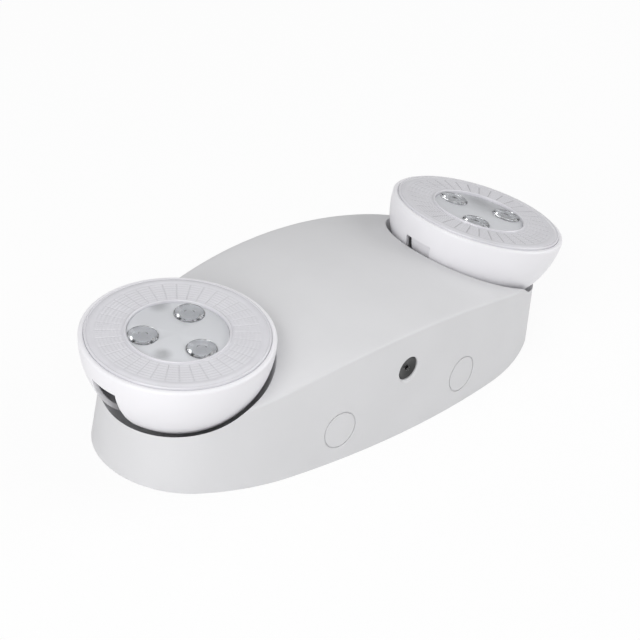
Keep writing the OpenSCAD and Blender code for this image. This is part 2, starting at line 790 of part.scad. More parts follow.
// Key that slides in the bowl's slot, with a dished top that carries the clamp
module slot_key(foot_r) {
    difference() {
        intersection() {
            translate([0, 0, -foot_r]) block([key_l, slot_w - 2 * key_gap, foot_r]);
            sphere(r = foot_r, $fn = 2 * round_fn);
        }
        sphere(r = clamp_out_r, $fn = 2 * round_fn);
    }
}

module saddle_clamp() color("silver") {
    difference() {
        intersection() {
            translate([0, 0, -clamp_out_r]) block([clamp_l, clamp_w, clamp_out_r]);
            sphere(r = clamp_out_r, $fn = 2 * round_fn);
        }
        sphere(r = clamp_in_r, $fn = 2 * round_fn);
        translate([0, 0, -bowl_r]) cylinder(h = bowl_r, r = wire_bore_r, $fn = round_fn);
        for (s = [-1, 1]) translate([0, s * clamp_screw_at, -bowl_r])
            cylinder(h = bowl_r, r = pilot_r, $fn = hole_fn);
    }
}

module clamp_screws() color("silver") {
    for (s = [-1, 1]) translate([0, s * clamp_screw_at, -clamp_seat]) mirror([0, 0, 1])
        screw(clamp_screw_l, screw_r, screw_head_r, screw_head_h);
}

module friction_washer() color("lightgray") {
    translate([0, 0, -stem_end]) tube(washer_t, washer_out_r, washer_in_r);
}

// Plate under the collar, with the tab that meets the housing's stop post
module retainer() color("silver") {
    translate([0, 0, -stem_end - retainer_t]) difference() {
        union() {
            cylinder(h = retainer_t, r = retainer_r, $fn = round_fn);
            translate([retainer_r / 2, -stop_w / 2, 0])
                cube([retainer_r / 2 + stop_reach, stop_w, retainer_t]);
        }
        translate([0, 0, -overrun]) cylinder(h = retainer_t + 2 * overrun, r = wire_bore_r, $fn = round_fn);
        for (s = [-1, 1]) translate([s * retainer_screw_at, 0, -overrun])
            cylinder(h = retainer_t + 2 * overrun, r = pilot_r, $fn = hole_fn);
    }
}

module retainer_screws() color("silver") {
    for (s = [-1, 1]) translate([s * retainer_screw_at, 0, -stem_end - retainer_t])
        screw(retainer_t + retainer_screw_l - overrun, screw_r, screw_head_r, screw_head_h);
}

// Lamp head, with the pivot at the origin and the lens's axis along Z
module lamp_bowl() color("white") {
    bore_r = lens_r + lens_gap;
    rim = rim_h - bezel_drop;
    bezel_at = asin((bezel_r - rim) / (bowl_r - bezel_r));
    bezel = arc(bezel_r, quarter_turn - bezel_at, 2 * quarter_turn, bezel_steps);
    ledge_in = bore_r - ledge_w;
    ledge_low = ledge_z - ledge_t;
    in_a = acos(-ledge_low / bowl_in_r);
    difference() {
        union() {
            rotate_extrude($fn = 2 * round_fn) polygon(concat(
                arc(bowl_r, 0, quarter_turn - bezel_at, 24),
                [for (i = [1 : bezel_steps])
                    [(bowl_r - bezel_r) * cos(bezel_at) + bezel[i].x, rim - bezel_r + bezel[i].y]],
                [[bore_r, rim], [bore_r, ledge_z], [ledge_in, ledge_z], [ledge_in, ledge_low]],
                arc(bowl_in_r, in_a, 0, 24)));
            intersection() {
                at_ears() translate([0, 0, -bowl_r])
                    cylinder(h = bowl_r + ear_z, r = post_r, $fn = hole_fn);
                sphere(r = bowl_r - bowl_wall / 2, $fn = 2 * round_fn);
            }
        }
        tilt_slot();
        at_ears() translate([0, 0, ear_z - post_depth])
            cylinder(h = post_depth + overrun, r = pilot_r, $fn = hole_fn);
    }
}

// What the slot cuts out of the bowl: all but the tongue in its end towards -X
module tilt_slot() {
    difference() {
        slot_sector(-tongue_root, slot_end, -slot_w / 2, slot_w);
        intersection() {
            slot_sector(-tongue_root - stop_turn, -tongue_tip, tongue_near_gap - slot_w / 2, tongue_w);
            translate([-tongue_shift * cos(tongue_root), 0, tongue_shift * sin(tongue_root)])
                sphere(r = bowl_r, $fn = 2 * round_fn);
        }
    }
}

// Sector from a to b, in degrees from straight down, of width w from y
module slot_sector(a, b, y, w) {
    reach = 2 * bowl_r;
    steps = 4;
    translate([0, y + w, 0]) rotate([quarter_turn, 0, 0]) linear_extrude(w)
        polygon(concat([[0, 0]], arc(reach, a, b, steps)));
}

module lamp_carrier(phase) color("white") {
    in_r = carrier_r - carrier_wall;
    ear_arm = ear_at - in_r - carrier_wall / 2;
    top = lens_under - carrier_top_gap;
    low_floor = carrier_low + carrier_floor_t;
    difference() {
        union() {
            rotate_extrude($fn = round_fn) polygon([[0, carrier_low], [carrier_r, carrier_low],
                [carrier_r, top], [in_r, top], [in_r, low_floor], [carrier_table_r, low_floor],
                [carrier_table_r, carrier_table], [0, carrier_table]]);
            at_ears() translate([0, 0, ear_z]) {
                cylinder(h = ear_t, r = ear_r, $fn = hole_fn);
                translate([-ear_arm, -ear_r, 0]) cube([ear_arm, 2 * ear_r, ear_t]);
            }
        }
        at_ears() translate([0, 0, ear_z - overrun])
            cylinder(h = ear_t + 2 * overrun, r = pilot_r, $fn = hole_fn);
        rotate([0, 0, phase + turn / led_count / 2]) around(led_count)
            translate([led_screw_at, 0, carrier_table - led_screw_l])
                cylinder(h = led_screw_l + overrun, r = pilot_r, $fn = hole_fn);
    }
}

module carrier_screws() color("silver") {
    at_ears() translate([0, 0, ear_z + ear_t]) mirror([0, 0, 1])
        screw(carrier_screw_l + ear_t, screw_r, carrier_screw_head_r, screw_head_h);
}

module led_board() color("white") {
    translate([0, 0, carrier_table]) difference() {
        cylinder(h = board_t, r = led_board_r, $fn = round_fn);
        rotate([0, 0, turn / led_count / 2]) around(led_count) translate([led_screw_at, 0, -overrun])
            cylinder(h = board_t + 2 * overrun, r = pilot_r, $fn = hole_fn);
    }
}

module led_screws() color("silver") {
    rotate([0, 0, turn / led_count / 2]) around(led_count)
        translate([led_screw_at, 0, carrier_table + board_t]) mirror([0, 0, 1])
            screw(board_t + led_screw_l - screw_r, screw_r, carrier_screw_head_r, screw_head_h);
}

module leds() color("gold") {
    around(led_count) translate([led_at, 0, carrier_table + board_t]) {
        block([led_w, led_w, led_h]);
        translate([0, 0, led_h / 2]) cylinder(h = led_h, r1 = led_dome_r, r2 = led_dome_r / 2, $fn = hole_fn);
    }
}

// Clear collimators, narrow at the emitter and wide at the front
module optics() color([0.85, 0.9, 0.95, 0.6]) {
    foot = optic_foot_z + optic_gap;
    bite = led_h + optic_gap;
    around(led_count) translate([led_at, 0, 0]) rotate_extrude($fn = round_fn / 2)
        polygon([[optic_bite_r, foot], [optic_foot_r, foot], [optic_r, lens_under], [optic_r, rim_h],
            [0, rim_h], [0, foot + bite], [optic_bite_r, foot + bite]]);
}

module optic_plate() color([0.8, 0.82, 0.84]) {
    low = lens_under - optic_plate_t;
    difference() {
        translate([0, 0, low]) cylinder(h = optic_plate_t, r = plate_rim_r, $fn = round_fn);
        around(led_count) translate([led_at, 0, low - overrun])
            cylinder(h = optic_plate_t + 2 * overrun, r = optic_r + optic_gap, $fn = round_fn / 2);
    }
}

module lens_cover() color([0.86, 0.86, 0.9, 0.9]) {
    rim_in = lens_r - lens_rim_w;
    rotate_extrude($fn = 2 * round_fn) polygon(concat(
        [[window_r, lens_under], [rim_in, lens_under], [rim_in, ledge_z], [lens_r, ledge_z]],
        [for (p = arc(lens_edge_r, quarter_turn, 2 * quarter_turn, 3))
            [lens_r - lens_edge_r + p.x, rim_h - lens_edge_r + p.y]],
        [for (p = arc(bead_r, quarter_turn, 3 * quarter_turn, 6)) [window_r + bead_r + p.x, rim_h + p.y]]));
}

front_housing();
back_plate();
main_board();
board_screws();
transformer();
relay();
capacitors();
terminal_block();
battery_cells();
battery_cradle();
battery_strap();
switch_board();
switch_screws();
test_switch();
status_led();
left_lead();
right_lead();
test_button();
button_window();
switch_plunger();
on_swivel(-1) swivel_stem();  // left_swivel_stem
on_swivel(-1) saddle_clamp();  // left_saddle_clamp
on_swivel(-1) clamp_screws();  // left_clamp_screws
on_swivel(-1) friction_washer();  // left_friction_washer
on_swivel(-1) retainer();  // left_retainer
on_swivel(-1) retainer_screws();  // left_retainer_screws
on_bowl(-1) lamp_bowl();  // left_lamp_bowl
on_bowl(-1) lamp_carrier(left_phase - turn / 2);  // left_lamp_carrier
on_light(-1) led_board();  // left_led_board
on_light(-1) leds();  // left_leds
on_light(-1) led_screws();  // left_led_screws
on_bowl(-1) carrier_screws();  // left_carrier_screws
on_light(-1) optics();  // left_optics
on_light(-1) optic_plate();  // left_optic_plate
on_head(-1) lens_cover();  // left_lens_cover
on_swivel(1) swivel_stem();  // right_swivel_stem
on_swivel(1) saddle_clamp();  // right_saddle_clamp
on_swivel(1) clamp_screws();  // right_clamp_screws
on_swivel(1) friction_washer();  // right_friction_washer
on_swivel(1) retainer();  // right_retainer
on_swivel(1) retainer_screws();  // right_retainer_screws
on_bowl(1) lamp_bowl();  // right_lamp_bowl
on_bowl(1) lamp_carrier(right_phase);  // right_lamp_carrier
on_light(1) led_board();  // right_led_board
on_light(1) leds();  // right_leds
on_light(1) led_screws();  // right_led_screws
on_bowl(1) carrier_screws();  // right_carrier_screws
on_light(1) optics();  // right_optics
on_light(1) optic_plate();  // right_optic_plate
on_head(1) lens_cover();  // right_lens_cover
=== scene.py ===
import json
import math

import bmesh
import bpy
from mathutils import Matrix, Vector


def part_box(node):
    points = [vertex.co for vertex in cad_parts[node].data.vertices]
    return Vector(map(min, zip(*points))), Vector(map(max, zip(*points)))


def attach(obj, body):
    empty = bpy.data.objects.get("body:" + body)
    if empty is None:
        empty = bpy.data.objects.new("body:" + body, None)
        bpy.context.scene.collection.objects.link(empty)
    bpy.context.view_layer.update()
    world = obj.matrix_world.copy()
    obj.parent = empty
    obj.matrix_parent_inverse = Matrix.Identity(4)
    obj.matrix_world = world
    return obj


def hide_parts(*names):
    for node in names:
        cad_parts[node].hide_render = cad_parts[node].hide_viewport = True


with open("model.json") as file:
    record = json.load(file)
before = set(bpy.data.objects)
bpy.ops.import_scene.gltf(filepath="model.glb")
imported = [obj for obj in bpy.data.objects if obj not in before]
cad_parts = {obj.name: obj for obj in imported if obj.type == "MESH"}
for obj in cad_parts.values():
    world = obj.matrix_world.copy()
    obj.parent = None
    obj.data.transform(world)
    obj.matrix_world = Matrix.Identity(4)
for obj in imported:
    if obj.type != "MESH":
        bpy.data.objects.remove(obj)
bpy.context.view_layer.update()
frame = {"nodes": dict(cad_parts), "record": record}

MM = 0.001
RIGHT_ANGLE = math.pi / 2
FULL_TURN = 2 * math.pi
SIDES = {"left": -1, "right": 1}
# Points nearer to each other than this are one point
TOUCHING = 0.002 * MM
# A round cutter is turned a little, so that none of its edges falls on an edge of what it cuts
SKEW = Matrix.Rotation(math.radians(0.83), 4, "Z")
# Edges that turn by more than these many degrees stay sharp
SHARP, LENS_SHARP, BUTTON_SHARP, OPTIC_SHARP = 35, 50, 30, 20

# Body: the same driving sizes as the CAD shell
BODY_LENGTH, BODY_WIDTH, BODY_HEIGHT = 270 * MM, 112.5 * MM, 62.2 * MM
END_RADIUS = 42 * MM
SIDE_TURN, SHOULDER_TURN = math.radians(8), math.radians(30)
DRAFT = math.tan(math.radians(3))
DOME_LONG, DOME_CROSS = 292 * MM, 254 * MM
WALL = 2.4 * MM
BROW, INNER_BROW = 2 * MM, 1 * MM
POCKET_RADIUS, CUP_RADIUS = 47.7 * MM, 49.9 * MM
POCKET_LEAN = math.radians(24)
COLLAR_RADIUS, COLLAR_END = 16.6 * MM, 54 * MM
JOURNAL_BORE, JOURNAL_DEPTH = 9.05 * MM, 8 * MM
BUTTON_HEIGHT, BUTTON_HOLE, BUTTON_LIP = 36.3 * MM, 6.3 * MM, 0.7 * MM
SLEEVE_WALL, SLEEVE_LENGTH = 1.8 * MM, 5.5 * MM
KNOCKOUT_X, KNOCKOUT_HEIGHT, KNOCKOUT_RADIUS = 42.4 * MM, 17.2 * MM, 9.3 * MM
SCORE_HALF_WIDTH, SCORE_DEPTH = 0.35 * MM, 0.6 * MM

# Lamp heads: radii, and heights over the pivot along the lens's axis
PIVOTS = {j["child"]: Vector(j["pos_m"]) for j in frame["record"]["behaviour"]["joints"] if "pos_m" in j}
LEANS = {"left": math.radians(-4.5), "right": math.radians(12.5)}
BOWL_RADIUS, BOWL_WALL = 45.4 * MM, 2.2 * MM
BOWL_RIM, BEZEL, RIM_EDGE = 0.4 * MM, 1.3 * MM, 0.3 * MM
LEDGE_BORE, LEDGE, LEDGE_LOW = 40.7 * MM, -0.9 * MM, -2.2 * MM
SLOT_WIDTH, SLOT_END = 16 * MM, math.radians(77.5)
TONGUE_TIP, TONGUE_ROOT = math.radians(63.5), math.radians(74.9)
TONGUE_NEAR_GAP, TONGUE_WIDTH, TONGUE_SINK = 0.6 * MM, 12 * MM, 1.2 * MM

# Lens: its rings of small cells lie between a beaded window and a smooth band
LENS_BORE, LENS_GAP, LENS_SKIRT = 43 * MM, 0.1 * MM, 1.8 * MM
LENS_FACE, LENS_UNDER = 1.5 * MM, -0.3 * MM
WINDOW, BEAD = 23.5 * MM, 0.7 * MM
RINGS, FIRST_RING, RING_PITCH, RING_DEPTH = 7, 25.4 * MM, 1.82 * MM, 0.15 * MM
LAST_RING = FIRST_RING + RINGS * RING_PITCH
RING_CROWN = 0.2 * MM
CELLS, STEPS_PER_CELL, CELLS_PER_BAR = 144, 3, 4
CELL_GROOVE, BAR_GROOVE = 0.1 * MM, 0.22 * MM
LENS_EDGE, EDGE_GROOVE = 0.8 * MM, 0.25 * MM
BARS = CELLS // CELLS_PER_BAR
# How much of the lens's tone is left along the bars: painted shade, darker on the right head than the left
PAINTED_BAR_SHADE = {"left": 0.92, "right": 0.70}

# Light source: three optics in a frosted plate, turned round the lens's axis
PHASES = {"left": math.radians(30), "right": math.radians(-25)}
OPTICS = 3
OPTIC_RADIUS, OPTIC_RING = 7.2 * MM, 16.2 * MM
PLATE_RADIUS, PLATE_THICKNESS, PLATE_FACE = 24.9 * MM, 1.2 * MM, 0.7 * MM
PLATE_GAP = 0.1 * MM
# Patches of painted shade on each frosted plate, in mm on the lamp head: place, reach and weight
PAINTED_SHADE_PATCHES = {"left": [(7, 22, 7, 0.6), (-16.2, -8.2, 6, 0.6), (2, -20, 7, 0.25)],
           "right": [(14, 14, 12, 0.35), (12, 4, 16, 0.45), (20, -4, 12, 0.25)]}

# Photograph: its camera, in pixels where it says so
FRAME_PX, FOCAL_PX, SHIFT_X_PX, SHIFT_Y_PX = 640, 2291.0, -8.13, 7.85
CAMERA_AZIMUTH, CAMERA_ELEVATION, CAMERA_ROLL = math.radians(-49.19), math.radians(32.09), math.radians(8.74)
CAMERA_DISTANCE, CAMERA_TARGET = 1.1241, Vector((0, 0, 0.03))
SENSOR = 36

# Studio: places in metres and powers in watts
FLOOR_SIZE, FLOOR_DROP, FLOOR_WHITE, FLOOR_GLOW = 6, 0.2 * MM, 0.86, 0.9
ROOM_STRENGTH = 0.43
SOFTBOX_SIZE = 1.2
SOFTBOXES = {"left_softbox": ((-1.3, -0.5, 0.9), 17.5), "right_softbox": ((1.3, -0.7, 0.8), 10.5),
             "top_softbox": ((0.3, 0.5, 1.8), 4.5)}


# Modelling as by hand
def clear_selection():
    if bpy.context.mode != "OBJECT":
        bpy.ops.object.mode_set(mode="OBJECT")
    bpy.ops.object.select_all(action="DESELECT")


def only(piece):
    clear_selection()
    piece.select_set(True)
    bpy.context.view_layer.objects.active = piece


def named(name):
    piece = bpy.context.object
    piece.name = piece.data.name = name
    return piece


def pick(piece, kind, test):
    """In edit mode, selects just the vertices, edges or faces that pass the test."""
    bpy.ops.mesh.select_mode(type=kind)
    bpy.ops.mesh.select_all(action="DESELECT")
    mesh = bmesh.from_edit_mesh(piece.data)
    mesh.normal_update()
    for part in {"VERT": mesh.verts, "EDGE": mesh.edges, "FACE": mesh.faces}[kind]:
        if test(part):
            part.select_set(True)
    mesh.select_flush_mode()
    bmesh.update_edit_mesh(piece.data)


def settle(piece, matrix=None):
    """Leaves edit mode and puts the piece's place into its mesh."""
    only(piece)
    if matrix:
        piece.matrix_world = matrix
    bpy.ops.object.transform_apply(location=True, rotation=True, scale=True)
    return piece


def close_up(piece):
    """In edit mode, merges what meets and turns every face outwards."""
    bpy.ops.mesh.select_all(action="SELECT")
    bpy.ops.mesh.remove_doubles(threshold=TOUCHING)
    bpy.ops.mesh.normals_make_consistent(inside=False)
    if bmesh.from_edit_mesh(piece.data).calc_volume(signed=True) < 0:
        bpy.ops.mesh.flip_normals()


def apply(piece, kind, **settings):
    only(piece)
    tool = piece.modifiers.new(kind.lower(), kind)
    for name, value in settings.items():
        setattr(tool, name, value)
    bpy.ops.object.modifier_apply(modifier=tool.name)


def combine(piece, tools, how="DIFFERENCE"):
    """Cuts each tool from the piece, or keeps what they share, and uses the tools up."""
    for tool in tools:
        apply(piece, "BOOLEAN", object=tool, operation=how, solver="MANIFOLD")
        bpy.data.objects.remove(tool)


def soften(piece, width):
    """Gives the sharp edges a small round."""
    apply(piece, "BEVEL", width=width, segments=2, limit_method="ANGLE",
          angle_limit=math.radians(SHARP), harden_normals=False)


def smooth(piece, angle=SHARP):
    only(piece)
    bpy.ops.object.shade_smooth_by_angle(angle=math.radians(angle))


def pen(name, place):
    """A new piece that is one vertex, selected and ready to be drawn out."""
    clear_selection()
    bpy.ops.mesh.primitive_plane_add(size=MM)
    piece = named(name)
    bpy.ops.object.mode_set(mode="EDIT")
    bpy.ops.mesh.select_mode(type="VERT")
    bpy.ops.mesh.select_all(action="SELECT")
    bpy.ops.mesh.merge(type="CENTER")
    bpy.ops.transform.translate(value=place)
    return piece


def draw(move):
    bpy.ops.mesh.extrude_region_move(TRANSFORM_OT_translate={"value": move})


def swing(steps, angle, centre, axis):
    """Extrudes the selection round an axis, by the right-hand rule.

    With no window, the spin operator turns the other way.
    """
    bpy.ops.mesh.spin(steps=steps, angle=-angle, center=centre, axis=axis)


class Turned:
    """A profile drawn as by hand in the X-Z plane, then spun round Z."""

    def __init__(self, name, radius, height):
        self.at = Vector((radius, 0, height))
        self.piece = pen(name, self.at)

    def line(self, radius, height):
        move = Vector((radius, 0, height)) - self.at
        draw(move)
        self.at += move
        return self

    def arc(self, centre, degrees, steps):
        """Sweeps round a centre (radius, height), from +Z towards +X where degrees are positive."""
        middle = Vector((centre[0], 0, centre[1]))
        angle = math.radians(degrees)
        swing(steps, angle, middle, (0, 1, 0))
        self.at = middle + Matrix.Rotation(angle, 3, "Y") @ (self.at - middle)
        return self

    def spin(self, steps):
        bpy.ops.mesh.select_all(action="SELECT")
        swing(steps, FULL_TURN, (0, 0, 0), (0, 0, 1))
        close_up(self.piece)
        return self.piece


def rod(name, radius, low, high, steps=64):
    """Round bar along Z."""
    profile = Turned(name, 0, low)
    profile.line(radius, low).line(radius, high).line(0, high)
    return settle(profile.spin(steps), SKEW)


def ball(name, radius):
    segments = 160
    clear_selection()
    bpy.ops.mesh.primitive_uv_sphere_add(radius=radius, segments=segments, ring_count=segments // 2)
    return settle(named(name), SKEW)


# Placing
def swivel_place(side):
    turn = Matrix.Rotation(SIDES[side] * POCKET_LEAN, 4, "Y")
    return Matrix.Translation(PIVOTS[f"{side}_head"]) @ turn


def head_place(side):
    return Matrix.Translation(PIVOTS[f"{side}_head"]) @ Matrix.Rotation(LEANS[side], 4, "Y")


def bowl_place(side):
    """The left bowl is the right one turned half round."""
    return head_place(side) @ Matrix.Rotation(math.pi if side == "left" else 0, 4, "Z")


def light_place(side):
    return head_place(side) @ Matrix.Rotation(PHASES[side], 4, "Z")


def optic_place(k):
    """Where the k-th optic stands in the light source."""
    return Matrix.Rotation(FULL_TURN * k / OPTICS, 4, "Z") @ Matrix.Translation((OPTIC_RING, 0, 0))


def across_place(x, z):
    """Local +Z runs along +Y from y = 0, at x and z."""
    return Matrix.Translation((x, 0, z)) @ Matrix.Rotation(-RIGHT_ANGLE, 4, "X")


def finish(piece, body, nodes, slot, material):
    """Gives a piece its material, the body that it moves with and the CAD nodes that it stands for."""
    piece.data.materials.clear()
    piece.data.materials.append(material)
    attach(piece, body)
    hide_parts(*nodes)


# Materials
class Number:
    """A shader value on which the usual operators add Math nodes."""

    def __init__(self, finish, socket):
        self.finish, self.socket = finish, socket

    def math(self, operation, *others, swap=False):
        values = [self, *others][::-1] if swap else [self, *others]
        return self.finish.node("ShaderNodeMath", {"operation": operation}, dict(enumerate(values)))

    def __add__(self, other):
        return self.math("ADD", other)

    def __sub__(self, other):
        return self.math("SUBTRACT", other)

    def __rsub__(self, other):
        return self.math("SUBTRACT", other, swap=True)

    def __mul__(self, other):
        return self.math("MULTIPLY", other)

    __radd__, __rmul__ = __add__, __mul__

    def near(self, low, high):
        """0 at low or less, 1 at high or more, with a soft passage between. Works with low over high too."""
        return self.finish.node("ShaderNodeMapRange", {"interpolation_type": "SMOOTHSTEP"},
                                {"Value": self, "From Min": low, "From Max": high})


class Finish:
    """One procedural material on a Principled surface."""

    def __init__(self, name, colour, roughness, **constants):
        self.material = bpy.data.materials.new(name)
        self.material.use_nodes = True
        self.tree = self.material.node_tree
        self.surface = self.tree.nodes["Principled BSDF"]
        self.surface.inputs["Base Color"].default_value = (*colour, 1)
        self.surface.inputs["Roughness"].default_value = roughness
        for socket, value in constants.items():
            self.surface.inputs[socket.replace("_", " ")].default_value = value
        self.colour = colour

    def node(self, kind, settings=None, inputs=None, out=0):
        node = self.tree.nodes.new(kind)
        for name, value in (settings or {}).items():
            setattr(node, name, value)
        for name, value in (inputs or {}).items():
            if isinstance(value, Number):
                self.tree.links.new(value.socket, node.inputs[name])
            else:
                node.inputs[name].default_value = value
        return Number(self, node.outputs[out])

    def feed(self, socket, value):
        self.tree.links.new(value.socket, self.surface.inputs[socket])

    def place(self):
        return self.node("ShaderNodeTexCoord", out="Object")

    def along(self, axis, middle):
        """Distance of the surface from a point, measured along an axis."""
        offset = self.node("ShaderNodeVectorMath", {"operation": "SUBTRACT"}, {0: self.place(), 1: middle})
        return self.node("ShaderNodeVectorMath", {"operation": "DOT_PRODUCT"}, {0: offset, 1: axis},
                         out="Value")

    def noise(self, size, detail=2.0, rough=0.5):
        """Noise between 0 and 1 whose blotches are about size across."""
        return self.node("ShaderNodeTexNoise", {}, {"Vector": self.place(), "Scale": 1 / size,
                                                    "Detail": detail, "Roughness": rough})

    def mix(self, factor, first, second):
        colours = {"Factor": factor}
        for socket, colour in ((6, first), (7, second)):
            colours[socket] = colour if isinstance(colour, Number) else (*colour, 1)
        return self.node("ShaderNodeMix", {"data_type": "RGBA"}, colours, out=2)

    def shade(self, factor):
        """The finish's colour times a factor."""
        return tuple(channel * factor for channel in self.colour)

    def blend(self, mask, low, high):
        """Base colour that goes from one share of the finish's colour to another with a mask."""
        self.feed("Base Color", self.mix(mask, self.shade(low), self.shade(high)))

    def bump(self, height, depth):
        """Height between 0 and 1, at a depth in metres."""
        self.feed("Normal", self.node("ShaderNodeBump", {}, {"Height": height, "Distance": depth,
                                                             "Strength": 1.0}))


def moulded(name, colour, roughness, depth=0.02 * MM, drift=0.03):
    """Moulded plastic: a fine spark grain, and faint drifts of tone and gloss."""
    finish = Finish(name, colour, roughness)
    drifts = finish.noise(30 * MM, 3)
    finish.blend(drifts.near(0.3, 0.7), 1 - drift, 1 + drift)
    finish.feed("Roughness", roughness + (finish.noise(6 * MM) - 0.5) * 0.12)
    finish.bump(finish.noise(0.5 * MM, 3, 0.6), depth)
    return finish.material


def metal(name, colour, roughness):
    """Plated steel: crystal blotches and fine rolling lines."""
    finish = Finish(name, colour, roughness, Metallic=1.0)
    blotches = finish.noise(3 * MM)
    finish.blend(blotches, 0.88, 1.08)
    finish.feed("Roughness", roughness + (blotches - 0.5) * 0.2)
    finish.bump(finish.noise(0.6 * MM), 0.008 * MM)
    return finish.material


def board(name, colour):
    """Circuit board: solder mask over tracks that show as faint steps."""
    finish = Finish(name, colour, 0.3, Coat_Weight=0.3)
    tracks = finish.node("ShaderNodeTexVoronoi", {"distance": "MANHATTAN", "feature": "F1"},
                         {"Vector": finish.place(), "Scale": 1 / (6 * MM)})
    edge = tracks.near(0.32, 0.36)
    finish.blend(edge, 1.35, 0.8)
    finish.bump(1 - edge, 0.03 * MM)
    return finish.material


def sleeved(name, colour, roughness):
    """Shrink sleeve: gloss with soft long wrinkles."""
    finish = Finish(name, colour, roughness)
    wrinkles = finish.noise(5 * MM, 3)
    finish.blend(wrinkles, 0.85, 1.12)
    finish.bump(wrinkles, 0.08 * MM)
    return finish.material


def lens_plastic(side):
    """Clear lens over a white lamp: milky and glossy, with shade painted darker along the bars, which show
    the space behind.
    """
    finish = Finish(f"ribbed_lens_{side}", (0.66, 0.655, 0.69), 0.22, Coat_Weight=0.25, Coat_Roughness=0.08)
    drifts = finish.noise(14 * MM, 3)
    tone = finish.mix(drifts.near(0.3, 0.7), finish.shade(0.975), finish.shade(1.02))
    middle = head_place(side)
    x, y = (finish.along(middle.col[axis].xyz, middle.translation) for axis in (0, 1))
    radius = finish.node("ShaderNodeMath", {"operation": "POWER"}, {0: x * x + y * y, 1: 0.5})
    turn = x.math("ARCTAN2", y, swap=True)
    bar = (turn * (BARS / 2)).math("SINE").math("ABSOLUTE").near(0.2, 0.07)
    inner, outer = FIRST_RING, LAST_RING + 0.16 * MM
    band = radius.near(inner, inner + 0.8 * MM) * radius.near(outer, outer - MM)
    # Painted shade along the bars, stronger on the right head than the left
    finish.feed("Base Color", finish.mix(bar * band, tone, finish.shade(PAINTED_BAR_SHADE[side])))
    finish.bump(finish.noise(0.35 * MM), 0.004 * MM)
    return finish.material


def optic_plastic(name, tint, roughness):
    """Clear plastic that bends the light, with faint flow marks."""
    finish = Finish(name, tint, roughness, IOR=1.49, Transmission_Weight=1.0)
    finish.bump(finish.noise(2 * MM, 1), 0.004 * MM)
    return finish.material


def emitter():
    """Phosphor over a light source: matt yellow with a fine grain."""
    finish = Finish("phosphor_emitter", (0.80, 0.62, 0.18), 0.35)
    finish.blend(finish.noise(0.4 * MM), 0.85, 1.1)
    return finish.material


def frosted(side):
    """Frosted plate: soft patches of painted shade on its face, placed differently on each head."""
    finish = Finish(f"frosted_plate_{side}", (0.61, 0.62, 0.645), 0.45)
    place = finish.place()
    shadow = None
    for x, y, reach, weight in PAINTED_SHADE_PATCHES[side]:
        spot = head_place(side) @ Vector((x * MM, y * MM, PLATE_FACE))
        offset = finish.node("ShaderNodeVectorMath", {"operation": "DISTANCE"}, {0: place, 1: spot},
                             out="Value")
        patch = offset.near(reach * MM, MM) * weight
        shadow = patch if shadow is None else shadow + patch
    cloud = finish.noise(3 * MM, 3)
    # Painted shade: the patches darken the plate's colour, broken up a little by noise
    finish.blend(shadow * (0.6 + cloud * 0.8), 1, 0.45)
    finish.bump(finish.noise(0.3 * MM), 0.006 * MM)
    return finish.material


MATERIALS = {
    "housing": moulded("matt_housing_white", (0.655, 0.655, 0.668), 0.52, drift=0.012),
    "lamp_white": moulded("satin_lamp_white", (0.815, 0.808, 0.835), 0.38, depth=0.008 * MM, drift=0.01),
    "carrier_white": moulded("carrier_white", (0.80, 0.80, 0.81), 0.4, drift=0.015),
    "moulded_grey": moulded("moulded_light_grey", (0.56, 0.56, 0.565), 0.55),
    "dark_plastic": moulded("dark_moulding", (0.035, 0.035, 0.038), 0.5, drift=0.15),
    "relay_blue": moulded("relay_blue", (0.03, 0.11, 0.27), 0.4, drift=0.1),
    "terminal_green": moulded("terminal_green", (0.03, 0.17, 0.07), 0.45, drift=0.1),
    "washer_nylon": moulded("natural_nylon", (0.66, 0.64, 0.58), 0.45),
    "lead_white": moulded("cable_sheath_white", (0.70, 0.70, 0.68), 0.45),
    "button_black": moulded("button_black", (0.012, 0.012, 0.013), 0.34, drift=0.2),
    "circuit_board": board("green_solder_mask", (0.012, 0.085, 0.035)),
    "board_white": board("white_solder_mask", (0.62, 0.62, 0.60)),
    "screws": metal("zinc_screws", (0.52, 0.52, 0.53), 0.32),
    "plated_steel": metal("zinc_plate", (0.50, 0.50, 0.51), 0.38),
    "capacitor_sleeve": sleeved("capacitor_sleeve", (0.012, 0.016, 0.05), 0.3),
    "cell_sleeve": sleeved("cell_sleeve", (0.03, 0.22, 0.08), 0.28),
    "lens_ribbed": lens_plastic("right"),
    "clear_optic": optic_plastic("clear_optic", (0.97, 0.98, 1.0), 0.02),
    "milky_optic": moulded("milky_optic", (0.74, 0.745, 0.76), 0.3, drift=0.02),
    "clear_guide": optic_plastic("clear_guide", (0.92, 0.94, 0.95), 0.12),
    "red_lens": moulded("tinted_red", (0.30, 0.02, 0.02), 0.25, drift=0.1),
    "frosted_plate": moulded("frosted_plate", (0.56, 0.56, 0.565), 0.55),
    "emitter": emitter(),
}

SLOTS = {part["node"]: part["material_slot"] for part in frame["record"]["subparts"]}
for node, piece in frame["nodes"].items():
    piece.data.materials.clear()
    piece.data.materials.append(MATERIALS[SLOTS[node]])


